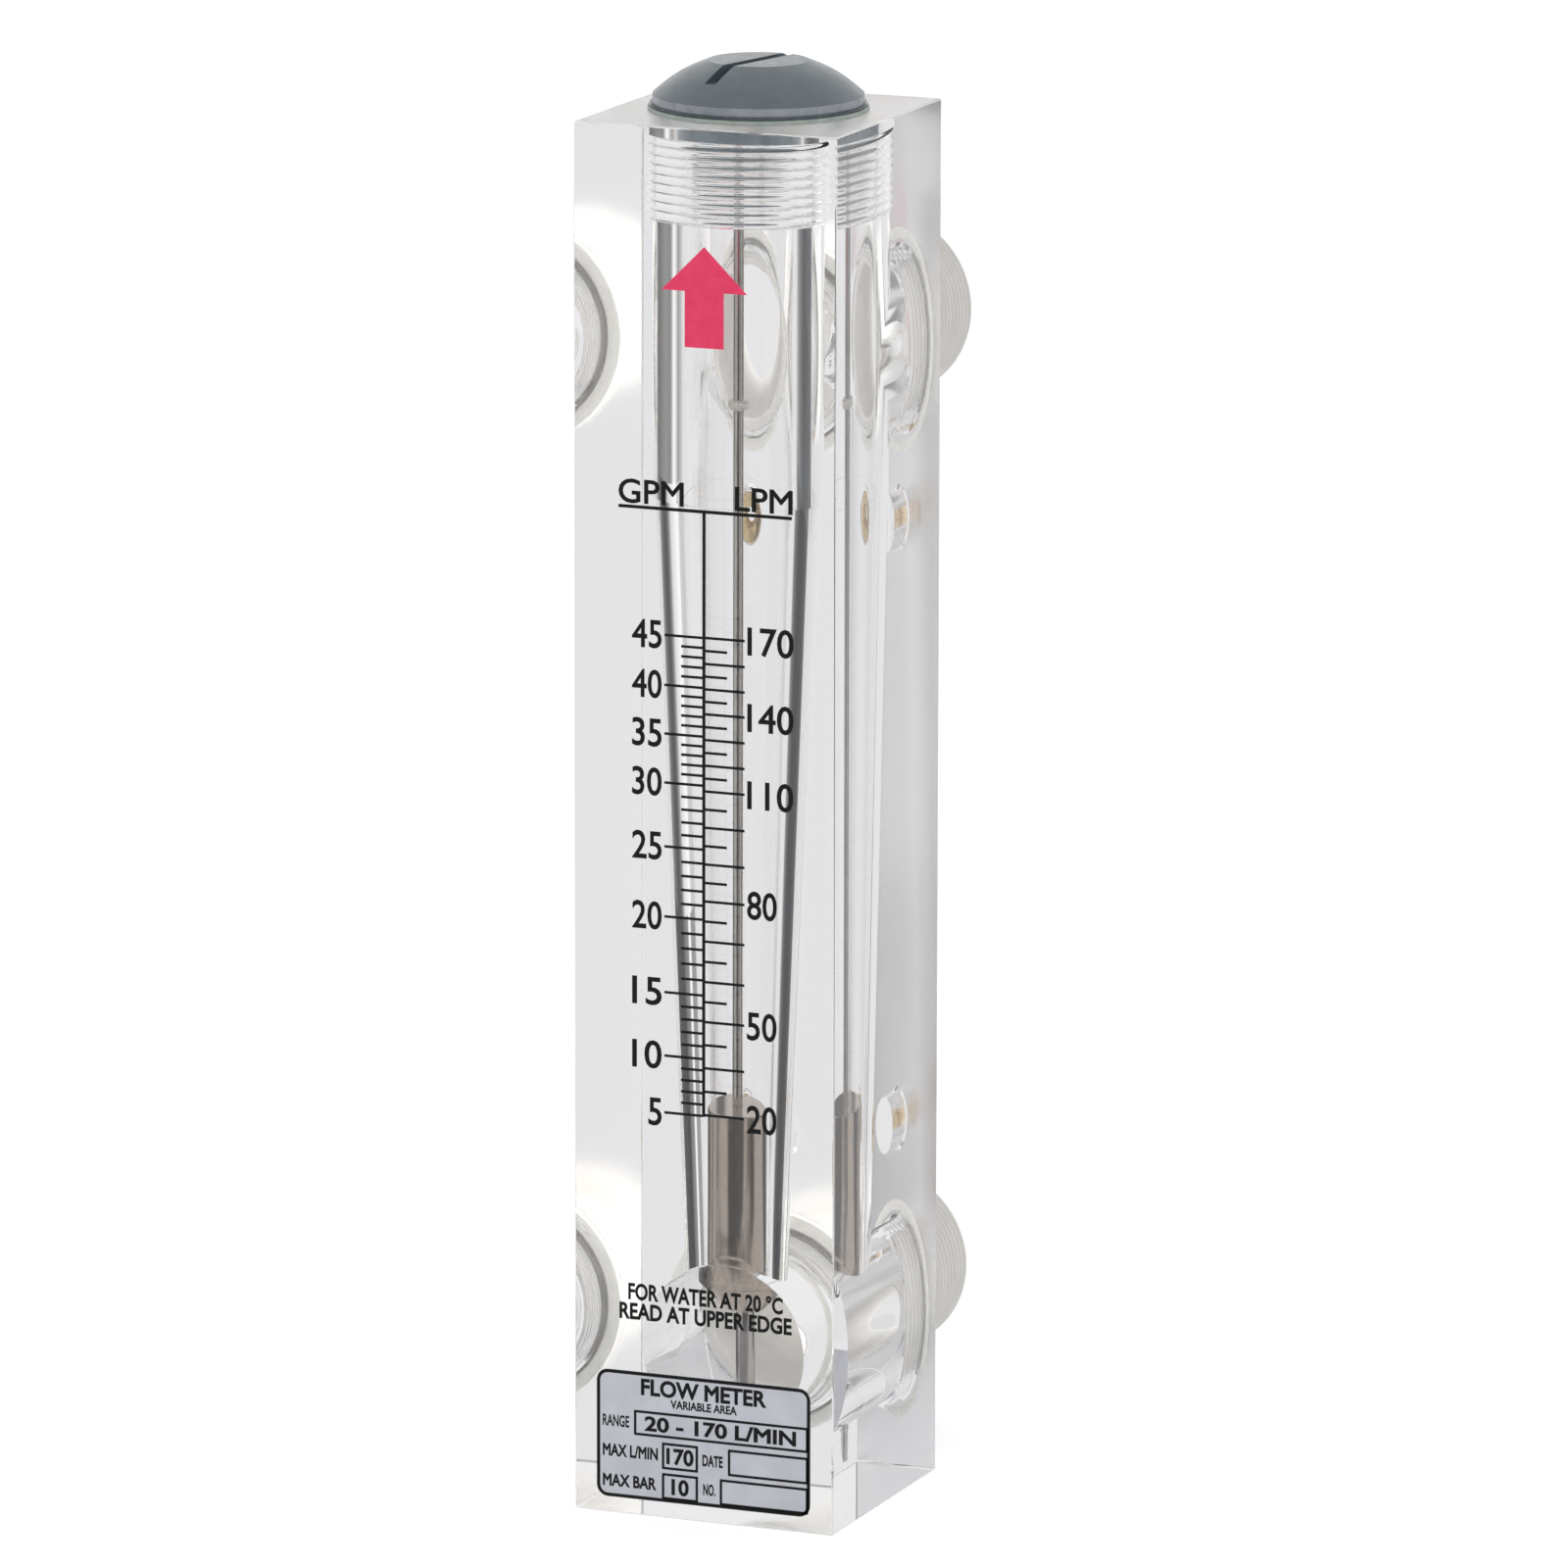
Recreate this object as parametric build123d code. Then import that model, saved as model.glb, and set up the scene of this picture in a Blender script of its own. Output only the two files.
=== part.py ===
from build123d import *
import math
import os

# Block type flow meter: one clear block with a tapered metering bore, read against a scale on its front.
# The origin is the middle of the block's base, on the axis of the metering bore.
# Z runs up the bore, Y from the scale face to the ports behind, X to the right of the scale.
# All sizes are millimetres.

# Clear block
block_width = 70.0
block_depth = 70.0
block_height = 353.0
block_edge_chamfer = 0.4

# Pipe thread of the plug and the port fittings, kept as plain cylinders at its outside diameter
pipe_thread_radius = 23.9
thread_clearance = 0.05

# Metering bore, from the top down
plug_mouth_depth = 4.5
plug_mouth_radius = 24.4
plug_mouth_chamfer = 0.5
plug_thread_depth = 25.7
upper_bore_radius = 22.2
taper_top_drop = 96.0
taper_top_radius = 21.7
taper_throat_radius = 13.5

# Ports and the cross bores behind them
lower_port_height = 41.3
upper_port_drop = 61.7
cross_bore_radius = 21.9
lower_cross_bore_depth = 50.0
port_recess_margin = 1.0
port_mouth_chamfer = 0.9

# Guide rod and what is on it
rod_radius = 2.0
rod_seat_depth = 8.0
rod_plug_engagement = 10.0
rod_hole_clearance = 0.04
rod_end_chamfer = 0.3
sleeve_wall = 0.4
sleeve_spot_face_depth = 1.5
spot_face_clearance = 0.2

# Float
float_radius = 11.8
float_length = 52.0
float_rest_height = 49.0
float_running_clearance = 0.06
float_nose_length = 7.0
float_nose_radius = 5.0
float_edge_chamfer = 0.4

# Stop ring at the top of the float's travel
stop_ring_drop = 74.5
stop_ring_thickness = 2.4
stop_ring_radius = 4.1
stop_ring_chamfer = 0.8

# Plug that closes the top of the bore
plug_thread_length = 9.0
plug_neck_clearance = 0.1
plug_thread_chamfer = 1.0
plug_rim_radius = 27.0
plug_rim_height = 3.0
plug_dome_height = 8.3
plug_dome_bulge = 0.8
plug_crown_radius = 12.5
slot_width = 3.2
slot_depth = 3.8
slot_turn = 13.5
plug_gasket_thickness = 1.2
plug_gasket_overhang = 0.5

# Port fittings, each a double nipple with a flange and a hexagon
fitting_engagement = 10.0
fitting_bore_radius = 19.5
fitting_flange_radius = 29.0
fitting_flange_thickness = 5.0
fitting_hexagon_flats = 50.0
fitting_hexagon_length = 8.0
fitting_thread_length = 36.5
fitting_end_chamfer = 1.2
port_washer_thickness = 2.0
port_washer_inner_radius = 25.3

# Threaded brass inserts in the back of the block
lower_insert_height = 91.0
upper_insert_drop = 107.0
insert_radius = 7.3
insert_length = 8.5
insert_hole_clearance = 0.1
insert_hole_margin = 0.5
insert_mouth_chamfer = 1.0
insert_thread_radius = 3.4
insert_edge_chamfer = 0.5

# Rating label on the front
label_width = 57.8
label_height = 33.0
label_lift = 4.2
label_thickness = 0.2
label_corner_radius = 3.0

# Places worked out from the sizes above
block_front = -block_depth / 2
block_back = block_depth / 2
upper_port_height = block_height - upper_port_drop
upper_insert_height = block_height - upper_insert_drop
taper_top_height = block_height - taper_top_drop
stop_ring_height = block_height - stop_ring_drop
threaded_hole_radius = pipe_thread_radius + thread_clearance
plug_mouth_floor = block_height - plug_mouth_depth
upper_bore_top = block_height - plug_thread_depth
plug_foot = plug_mouth_floor - plug_thread_length
plug_neck_radius = plug_mouth_radius - plug_neck_clearance
plug_seat = block_height + plug_gasket_thickness
plug_top = plug_seat + plug_rim_height + plug_dome_height
throat_height = lower_port_height + cross_bore_radius
cross_bore_floor = lower_port_height - cross_bore_radius
taper_slope = (taper_top_radius - taper_throat_radius) / (taper_top_height - throat_height)
taper_foot_radius = taper_top_radius - taper_slope * (taper_top_height - lower_port_height)
spot_face_height = cross_bore_floor - sleeve_spot_face_depth
rod_foot = spot_face_height - rod_seat_depth
rod_top = plug_foot + rod_plug_engagement
rod_hole_radius = rod_radius + rod_hole_clearance
sleeve_radius = rod_hole_radius + sleeve_wall
upright = (Align.CENTER, Align.CENTER, Align.MIN)


def disc(radius, foot, top):
    """Upright cylinder on the bore axis between two heights."""
    return Pos(0, 0, foot) * Cylinder(radius, top - foot, align=upright)


def at_back(shape, height):
    """Turn a shape built up from the XY plane so that it stands out of the block's back face."""
    return Pos(0, block_back, height) * Rot(-90, 0, 0) * shape


def circular_edges(shape, radius, height):
    """Full circles of one radius at one height, for a chamfer or a round."""
    return [
        edge
        for edge in shape.edges().filter_by(GeomType.CIRCLE)
        if abs(edge.radius - radius) < 1e-4 and abs(edge.center().Z - height) < 1e-4
    ]


def metering_bore():
    """Everything that is cut down the axis from the top, with the seat of the guide rod."""
    mouth = disc(plug_mouth_radius, plug_mouth_floor, block_height)
    lead_in = Pos(0, 0, block_height - plug_mouth_chamfer) * Cone(
        plug_mouth_radius, plug_mouth_radius + plug_mouth_chamfer, plug_mouth_chamfer, align=upright
    )
    threaded = disc(threaded_hole_radius, upper_bore_top, plug_mouth_floor)
    upper = disc(upper_bore_radius, taper_top_height, upper_bore_top)
    taper = Pos(0, 0, lower_port_height) * Cone(
        taper_foot_radius, taper_top_radius, taper_top_height - lower_port_height, align=upright
    )
    spot_face = disc(sleeve_radius + spot_face_clearance, spot_face_height, lower_port_height)
    rod_seat = disc(rod_hole_radius, rod_foot, spot_face_height)
    return mouth + lead_in + threaded + upper + taper + spot_face + rod_seat


def port_bore(depth):
    """Threaded recess for a fitting and the cross bore behind it, as cut from the back face."""
    recess_depth = fitting_engagement + port_recess_margin
    recess = disc(threaded_hole_radius, -recess_depth, 0)
    lead_in = Pos(0, 0, -port_mouth_chamfer) * Cone(
        threaded_hole_radius, threaded_hole_radius + port_mouth_chamfer, port_mouth_chamfer, align=upright
    )
    return recess + lead_in + disc(cross_bore_radius, -depth, -recess_depth)


def insert_hole():
    """Blind hole that a brass insert is pressed into."""
    radius = insert_radius + insert_hole_clearance
    hole = disc(radius, -insert_length - insert_hole_margin, 0)
    lead_in = Pos(0, 0, -insert_mouth_chamfer) * Cone(
        radius, radius + insert_mouth_chamfer, insert_mouth_chamfer, align=upright
    )
    return hole + lead_in


def make_block():
    block = Box(block_width, block_depth, block_height, align=upright)
    block = chamfer(block.edges(), block_edge_chamfer)
    block -= metering_bore()
    block -= at_back(port_bore(block_depth / 2), upper_port_height)
    block -= at_back(port_bore(lower_cross_bore_depth), lower_port_height)
    block -= at_back(insert_hole(), upper_insert_height)
    block -= at_back(insert_hole(), lower_insert_height)
    return block


def make_plug():
    """Turned plug: thread, neck, rim and a shallow dome with a flat crown and a driver slot."""
    rim_top = plug_seat + plug_rim_height
    middle_radius = (plug_rim_radius + plug_crown_radius) / 2 + plug_dome_bulge * math.sin(math.radians(30))
    middle_height = rim_top + plug_dome_height / 2 + plug_dome_bulge * math.cos(math.radians(30))
    with BuildPart() as plug:
        with BuildSketch(Plane.XZ):
            with BuildLine():
                Polyline(
                    (0, plug_top),
                    (0, plug_foot),
                    (pipe_thread_radius - plug_thread_chamfer, plug_foot),
                    (pipe_thread_radius, plug_foot + plug_thread_chamfer),
                    (pipe_thread_radius, plug_mouth_floor),
                    (plug_neck_radius, plug_mouth_floor),
                    (plug_neck_radius, plug_seat),
                    (plug_rim_radius, plug_seat),
                    (plug_rim_radius, rim_top),
                    (middle_radius, middle_height),
                    (plug_crown_radius, plug_top),
                    close=True,
                )
            make_face()
        revolve(axis=Axis.Z)
    slot = Rot(0, 0, -slot_turn) * Box(slot_width, 2 * plug_rim_radius, slot_depth, align=upright)
    rod_hole = disc(rod_hole_radius, plug_foot, rod_top + rod_hole_clearance)
    return plug.part - Pos(0, 0, plug_top - slot_depth) * slot - rod_hole


def make_gasket():
    """Flat gasket clamped between the plug's rim and the top of the block."""
    outer = disc(plug_rim_radius + plug_gasket_overhang, block_height, plug_seat)
    return outer - disc(plug_mouth_radius + plug_mouth_chamfer, block_height, plug_seat)


def make_rod():
    rod = disc(rod_radius, rod_foot, rod_top)
    ends = circular_edges(rod, rod_radius, rod_foot) + circular_edges(rod, rod_radius, rod_top)
    return chamfer(ends, rod_end_chamfer)


def make_sleeve():
    """Tube round the foot of the rod that the float comes to rest on."""
    tube = disc(sleeve_radius, spot_face_height, float_rest_height)
    return tube - disc(rod_hole_radius, spot_face_height, float_rest_height)


def make_stop_ring():
    """Soft ring gripped on the rod, with its rims broken."""
    top = stop_ring_height + stop_ring_thickness
    ring = disc(stop_ring_radius, stop_ring_height, top)
    rims = circular_edges(ring, stop_ring_radius, stop_ring_height) + circular_edges(ring, stop_ring_radius, top)
    ring = chamfer(rims, stop_ring_chamfer)
    return ring - disc(rod_radius, stop_ring_height, top)


def make_float():
    """Turned float, bored to slide on the rod, with a flat reading face and a tapered nose."""
    foot = float_rest_height
    top = float_rest_height + float_length
    body = disc(float_radius, foot + float_nose_length, top)
    body = chamfer(circular_edges(body, float_radius, top), float_edge_chamfer)
    nose = Pos(0, 0, foot) * Cone(float_nose_radius, float_radius, float_nose_length, align=upright)
    return body + nose - disc(rod_radius + float_running_clearance, foot, top)


def make_fitting():
    """Double nipple: thread into the block, flange, hexagon and the outer pipe thread."""
    seat = port_washer_thickness
    hexagon_foot = seat + fitting_flange_thickness
    thread_foot = hexagon_foot + fitting_hexagon_length
    end = thread_foot + fitting_thread_length
    inner_thread = disc(pipe_thread_radius, -fitting_engagement, seat)
    inner_thread = chamfer(
        circular_edges(inner_thread, pipe_thread_radius, -fitting_engagement), fitting_end_chamfer
    )
    flange = disc(fitting_flange_radius, seat, hexagon_foot)
    hexagon = Pos(0, 0, hexagon_foot) * extrude(
        RegularPolygon(fitting_hexagon_flats / 2, 6, major_radius=False), fitting_hexagon_length
    )
    outer_thread = disc(pipe_thread_radius, thread_foot, end)
    outer_thread = chamfer(circular_edges(outer_thread, pipe_thread_radius, end), fitting_end_chamfer)
    body = inner_thread + flange + hexagon + outer_thread
    return body - disc(fitting_bore_radius, -fitting_engagement, end)


def make_port_washer():
    """Flat sealing washer between a fitting's flange and the back of the block."""
    washer = disc(fitting_flange_radius, 0, port_washer_thickness)
    return washer - disc(port_washer_inner_radius, 0, port_washer_thickness)


def make_insert():
    """Round brass insert with a tapped hole right through."""
    insert = disc(insert_radius, -insert_length, 0)
    ends = circular_edges(insert, insert_radius, -insert_length) + circular_edges(insert, insert_radius, 0)
    insert = chamfer(ends, insert_edge_chamfer)
    return insert - disc(insert_thread_radius, -insert_length, 0)


def make_label():
    """Foil label with rounded corners, stuck low on the front of the block."""
    outline = RectangleRounded(label_width, label_height, label_corner_radius)
    plate = extrude(outline, label_thickness)
    return Pos(0, block_front, label_lift + label_height / 2) * Rot(90, 0, 0) * plate


nodes = {
    "body_block": make_block(),
    "top_plug": make_plug(),
    "plug_gasket": make_gasket(),
    "guide_rod": make_rod(),
    "lower_stop_sleeve": make_sleeve(),
    "upper_stop_ring": make_stop_ring(),
    "float": make_float(),
    "upper_port_fitting": at_back(make_fitting(), upper_port_height),
    "lower_port_fitting": at_back(make_fitting(), lower_port_height),
    "upper_port_washer": at_back(make_port_washer(), upper_port_height),
    "lower_port_washer": at_back(make_port_washer(), lower_port_height),
    "upper_insert": at_back(make_insert(), upper_insert_height),
    "lower_insert": at_back(make_insert(), lower_insert_height),
    "rating_label": make_label(),
}

os.makedirs("parts", exist_ok=True)
for name, shape in nodes.items():
    export_step(shape, f"parts/{name}.step")
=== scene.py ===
import bpy
import math
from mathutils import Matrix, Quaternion, Vector


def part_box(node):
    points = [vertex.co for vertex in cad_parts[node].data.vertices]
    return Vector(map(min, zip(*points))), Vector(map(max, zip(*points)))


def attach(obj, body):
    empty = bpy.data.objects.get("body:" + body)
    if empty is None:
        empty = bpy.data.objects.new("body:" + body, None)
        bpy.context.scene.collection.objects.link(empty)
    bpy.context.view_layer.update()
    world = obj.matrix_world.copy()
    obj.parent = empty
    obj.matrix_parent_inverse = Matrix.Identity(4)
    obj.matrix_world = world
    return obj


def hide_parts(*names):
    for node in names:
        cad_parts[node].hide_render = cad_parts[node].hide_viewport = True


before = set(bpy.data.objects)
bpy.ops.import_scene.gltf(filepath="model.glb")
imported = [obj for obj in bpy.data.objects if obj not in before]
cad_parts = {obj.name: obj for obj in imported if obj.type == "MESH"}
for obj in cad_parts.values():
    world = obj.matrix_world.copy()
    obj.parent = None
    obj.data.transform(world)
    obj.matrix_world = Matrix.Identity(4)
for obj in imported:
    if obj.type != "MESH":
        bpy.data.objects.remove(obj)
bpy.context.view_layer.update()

# Clear block. One piece of cast acrylic, milled square, with its front, sides and foot polished. It is
# bored, taper reamed and tapped from the top, and bored and tapped twice from the back. What shows of its
# bores is the light that their walls bend.
MM = 0.001
UPRIGHT = (0, 0, 1)
weld = 0.002 * MM
cut_tolerance = 0.0001 * MM
block_low, block_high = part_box("body_block")
block_size = block_high - block_low
block_back = block_high.y
block_edge_chamfer = 0.4 * MM
wetted = 0.01 * MM

pipe_thread_radius = 23.9 * MM
pipe_thread_pitch = 2.309 * MM
pipe_thread_depth = 1.479 * MM
thread_clearance = 0.08 * MM
over = 1 * MM
tapped_depth = 25.7 * MM
tapped_foot = block_high.z - tapped_depth

plug_mouth_radius = 24.4 * MM
plug_mouth_depth = 4.5 * MM
mouth_chamfer = 0.5 * MM
upper_bore_radius = 22.2 * MM
taper_top = block_high.z - 96 * MM
taper_top_radius = 21.7 * MM
taper_foot_radius = 12.57 * MM
sleeve_hole_radius = 2.64 * MM
sleeve_hole_foot = 17.85 * MM
rod_hole_radius = 2.04 * MM
rod_hole_foot = 9.85 * MM

lower_port_height = 41.3 * MM
upper_port_height = 291.3 * MM
port_recess_depth = 11 * MM
port_lead_in = 0.9 * MM
cross_bore_radius = 21.9 * MM
lower_cross_bore_depth = 50 * MM
upper_cross_bore_depth = 35 * MM

lower_insert_height = 91 * MM
upper_insert_height = 246 * MM
insert_hole_radius = 7.4 * MM
insert_hole_depth = 9 * MM
insert_lead_in = 1 * MM


def pick(piece):
    """Select one piece alone and make it the active one."""
    bpy.ops.object.select_all(action="DESELECT")
    piece.select_set(True)
    bpy.context.view_layer.objects.active = piece


def open_up(piece):
    """Put a piece into edit mode with all of it selected."""
    pick(piece)
    bpy.ops.object.mode_set(mode="EDIT")
    bpy.ops.mesh.select_all(action="SELECT")


def close_up():
    """Leave edit mode."""
    bpy.ops.object.mode_set(mode="OBJECT")


def close_facing_out():
    """Turn every face of the open piece outwards and leave edit mode."""
    bpy.ops.mesh.select_all(action="SELECT")
    bpy.ops.mesh.normals_make_consistent(inside=False)
    close_up()


def drawn_line(name, points):
    """A chain of edges through the points, pulled out of one vertex."""
    bpy.ops.object.select_all(action="DESELECT")
    bpy.ops.mesh.primitive_plane_add(size=MM, enter_editmode=True, location=(0, 0, 0))
    bpy.ops.mesh.merge(type="CENTER")
    bpy.ops.transform.translate(value=points[0])
    for here, there in zip(points, points[1:]):
        step = Vector(there) - Vector(here)
        bpy.ops.mesh.extrude_region_move(TRANSFORM_OT_translate={"value": step})
    close_up()
    line = bpy.context.view_layer.objects.active
    line.name = name
    return line


def turned(name, outline, steps=160):
    """A solid turned round the upright axis from half of its outline, given as radius and height."""
    piece = drawn_line(name, [(radius, 0, height) for radius, height in outline])
    open_up(piece)
    bpy.ops.mesh.spin(steps=steps, angle=math.tau, center=(0, 0, 0), axis=UPRIGHT)
    bpy.ops.mesh.select_all(action="SELECT")
    bpy.ops.mesh.remove_doubles(threshold=weld)
    close_facing_out()
    return piece


def threaded_bar(name, crest_radius, foot, top, root, pitch=pipe_thread_pitch, depth=pipe_thread_depth,
                 steps=96, facets=12):
    """A bar with a rounded V thread, cut flat at foot and top. A turn of its groove starts at the root, less
    half a step, so that no corner lies in the plane of a cut."""
    half_step = 0.5 / steps
    start = root - pitch * (math.ceil((root - foot) / pitch) + 1 + half_step)
    outline = []
    for facet in range(facets + 1):
        share = facet / facets
        groove = depth * (0.5 + 0.5 * math.cos(math.tau * share))
        outline.append((crest_radius - groove, 0, start + share * pitch))
    bar = drawn_line(name, outline)
    thread = bar.modifiers.new("Thread", "SCREW")
    thread.angle = math.tau
    thread.screw_offset = pitch
    thread.iterations = math.ceil((top - start) / pitch) + 1
    thread.steps = steps
    thread.render_steps = steps
    pick(bar)
    bpy.ops.object.modifier_apply(modifier=thread.name)
    open_up(bar)
    bpy.ops.mesh.remove_doubles(threshold=weld)
    close_up()
    for height, keep_above in ((foot, True), (top, False)):
        open_up(bar)
        bpy.ops.mesh.bisect(
            plane_co=(0, 0, height), plane_no=UPRIGHT, use_fill=True, threshold=cut_tolerance,
            clear_inner=keep_above, clear_outer=not keep_above
        )
        close_up()
    open_up(bar)
    close_facing_out()
    return bar


def laid_back(piece, height):
    """Turn a piece that was made upright so that it points out of the block's back face at a height."""
    pick(piece)
    piece.rotation_euler = (-math.pi / 2, 0, 0)
    piece.location = (0, block_back, height)
    bpy.ops.object.transform_apply()
    return piece


def combined(piece, operation, tools):
    """Join the tools to a piece, or cut them from it, all at once, and throw the tools away."""
    bench = bpy.data.collections.new("Bench")
    for tool in tools:
        bench.objects.link(tool)
    change = piece.modifiers.new("Machining", "BOOLEAN")
    change.operation = operation
    change.solver = "EXACT"
    change.operand_type = "COLLECTION"
    change.collection = bench
    pick(piece)
    bpy.ops.object.modifier_apply(modifier=change.name)
    for tool in tools:
        bpy.data.objects.remove(tool)
    bpy.data.collections.remove(bench)
    return piece


def smoothed(piece, degrees):
    """Shade curved walls smooth and keep edges sharper than the angle crisp."""
    pick(piece)
    bpy.ops.object.shade_smooth_by_angle(angle=math.radians(degrees))
    return piece


def port_bore(height, depth):
    """The cutter for one port: the lead-in, the recess behind it and the cross bore."""
    recess_radius = pipe_thread_radius - pipe_thread_depth
    return laid_back(turned("Port cutter", [
        (0, over),
        (pipe_thread_radius + port_lead_in + over, over),
        (pipe_thread_radius, -port_lead_in),
        (recess_radius, -port_lead_in),
        (recess_radius, -port_recess_depth),
        (cross_bore_radius, -port_recess_depth),
        (cross_bore_radius, -depth),
        (0, -depth),
    ], steps=144), height)


def port_tap(height):
    """The cutter for the thread in one port."""
    tap = threaded_bar("Port tap", pipe_thread_radius, -port_recess_depth, over, -port_recess_depth)
    return laid_back(tap, height)


def insert_bore(height):
    """The cutter for one insert's blind hole with its chamfered mouth."""
    return laid_back(turned("Insert cutter", [
        (0, insert_lead_in),
        (insert_hole_radius + 2 * insert_lead_in, insert_lead_in),
        (insert_hole_radius, -insert_lead_in),
        (insert_hole_radius, -insert_hole_depth),
        (0, -insert_hole_depth),
    ], steps=96), height)


bpy.ops.object.select_all(action="DESELECT")
bpy.ops.mesh.primitive_cube_add(size=1, location=(block_low + block_high) / 2, scale=block_size)
block = bpy.context.view_layer.objects.active
block.name = "clear_block"
bpy.ops.object.transform_apply()
open_up(block)
bpy.ops.mesh.bevel(offset=block_edge_chamfer, segments=1, affect="EDGES")
close_up()

main_bore = turned("Main bore cutter", [
    (0, block_high.z + over),
    (plug_mouth_radius + mouth_chamfer + over, block_high.z + over),
    (plug_mouth_radius, block_high.z - mouth_chamfer),
    (plug_mouth_radius, block_high.z - plug_mouth_depth),
    (upper_bore_radius, block_high.z - plug_mouth_depth),
    (upper_bore_radius, taper_top),
    (taper_top_radius, taper_top),
    (taper_foot_radius, lower_port_height),
    (sleeve_hole_radius, lower_port_height),
    (sleeve_hole_radius, sleeve_hole_foot),
    (rod_hole_radius, sleeve_hole_foot),
    (rod_hole_radius, rod_hole_foot),
    (0, rod_hole_foot),
], steps=192)
main_tap_top = block_high.z - plug_mouth_depth + mouth_chamfer
main_tap = threaded_bar("Main tap", pipe_thread_radius, tapped_foot, main_tap_top, tapped_foot)
combined(block, "DIFFERENCE", [
    main_bore,
    port_bore(upper_port_height, upper_cross_bore_depth),
    port_bore(lower_port_height, lower_cross_bore_depth),
    insert_bore(upper_insert_height),
    insert_bore(lower_insert_height),
])
combined(block, "DIFFERENCE", [main_tap, port_tap(upper_port_height), port_tap(lower_port_height)])
smoothed(block, 44)


def linear(hex_colour):
    """An sRGB hex colour as the linear values that a shader takes."""
    channels = [int(hex_colour[i:i + 2], 16) / 255 for i in (1, 3, 5)]
    curve = [c / 12.92 if c <= 0.04045 else ((c + 0.055) / 1.055) ** 2.4 for c in channels]
    return (*curve, 1)


def wired(material, node, sockets):
    """Give each socket of a node, by its name or place, a value or another node's output."""
    for socket, source in sockets.items():
        if isinstance(source, bpy.types.NodeSocket):
            material.node_tree.links.new(source, node.inputs[socket])
        else:
            node.inputs[socket].default_value = source
    return node


def add_node(material, kind, settings=None, sockets=None):
    """Add one shader node with its settings, and wire its sockets."""
    node = material.node_tree.nodes.new(kind)
    for name, value in (settings or {}).items():
        setattr(node, name, value)
    return wired(material, node, sockets or {})


def finish_of(name, **settings):
    """A new material with one Principled shader, whose own sockets hold the constants."""
    material = bpy.data.materials.new(name)
    material.use_nodes = True
    shader = material.node_tree.nodes["Principled BSDF"]
    wired(material, shader, {socket.replace("_", " "): value for socket, value in settings.items()})
    return material, shader


def place_on(material):
    """The place on the piece, as outputs named X, Y and Z."""
    place = add_node(material, "ShaderNodeTexCoord")
    return add_node(material, "ShaderNodeSeparateXYZ", None, {"Vector": place.outputs["Object"]}).outputs


def mottled(material, size, dark, light, patch_edges=(0.32, 0.68)):
    """A cloudy colour between two hex values, in patches of about the given size."""
    place = add_node(material, "ShaderNodeTexCoord")
    cloud = add_node(material, "ShaderNodeTexNoise", None, {
        "Vector": place.outputs["Object"], "Scale": 1 / size, "Detail": 3.0
    })
    ramp = add_node(material, "ShaderNodeValToRGB", None, {"Fac": cloud.outputs["Fac"]})
    for stop, share, colour in zip(ramp.color_ramp.elements, patch_edges, (dark, light)):
        stop.position = share
        stop.color = linear(colour)
    return ramp.outputs["Color"]


def uneven(material, size, least, most, crowding=(1, 1, 1)):
    """A value that wanders between two limits over about the given size, closer along a crowded axis."""
    place = add_node(material, "ShaderNodeTexCoord")
    drawn = add_node(material, "ShaderNodeMapping", None, {
        "Vector": place.outputs["Object"], "Scale": crowding
    })
    cloud = add_node(material, "ShaderNodeTexNoise", None, {
        "Vector": drawn.outputs["Vector"], "Scale": 1 / size, "Detail": 2.0
    })
    limits = add_node(material, "ShaderNodeMapRange", None, {
        "Value": cloud.outputs["Fac"], "From Min": 0.3, "From Max": 0.7, "To Min": least, "To Max": most
    })
    return limits.outputs["Result"]


def grained(material, size, depth, strength, crowding=(1, 1, 1)):
    """A normal tipped by a grain of about the given size and depth, closer along a crowded axis."""
    relief = add_node(material, "ShaderNodeBump", None, {
        "Height": uneven(material, size, 0, 1, crowding), "Distance": depth, "Strength": strength
    })
    return relief.outputs["Normal"]


def tool_rings(material, axis, spacing, depth, strength, wave="BANDS"):
    """A normal tipped by a turning tool's rings, spaced along the axis or, as RINGS, outwards from it."""
    wave_unit = math.tau / 20
    place = add_node(material, "ShaderNodeTexCoord")
    along = "bands_direction" if wave == "BANDS" else "rings_direction"
    rings = add_node(material, "ShaderNodeTexWave", {"wave_type": wave, along: axis}, {
        "Vector": place.outputs["Object"], "Scale": wave_unit / spacing, "Distortion": 1.2, "Detail": 2.0,
        "Detail Scale": 1.5
    })
    relief = add_node(material, "ShaderNodeBump", None, {
        "Height": rings.outputs["Fac"], "Distance": depth, "Strength": strength
    })
    return relief.outputs["Normal"]


def dressed(piece, material, body, slot, *nodes):
    """Give a finished piece its material, the body it rides on and what it replaces. The record slot is not
    used.
    """
    piece.data.materials.clear()
    piece.data.materials.append(material)
    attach(piece, body)
    if nodes:
        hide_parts(*nodes)


# Cast acrylic. Water clear, with a hard bright surface where it is polished. The back and the top are left
# with the fine satin of the milling cutter, which blurs whatever doesn't touch them. The cast sheet has a
# ripple too slight to see except in a reflection.
acrylic, shader = finish_of(
    "Polished cast acrylic", Base_Color=linear("#FFFFFF"), Roughness=0.0, IOR=1.49, Transmission_Weight=1.0
)
satin_skin = 0.1 * MM
satin_roughness = 0.3
place = place_on(acrylic)
satin = 0.0
for axis, edge in (("Z", block_high.z - satin_skin), ("Y", block_high.y - satin_skin)):
    beyond = add_node(acrylic, "ShaderNodeMath", {"operation": "GREATER_THAN"}, {0: place[axis], 1: edge})
    either = add_node(acrylic, "ShaderNodeMath", {"operation": "MAXIMUM"}, {0: satin, 1: beyond.outputs[0]})
    satin = either.outputs[0]
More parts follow.
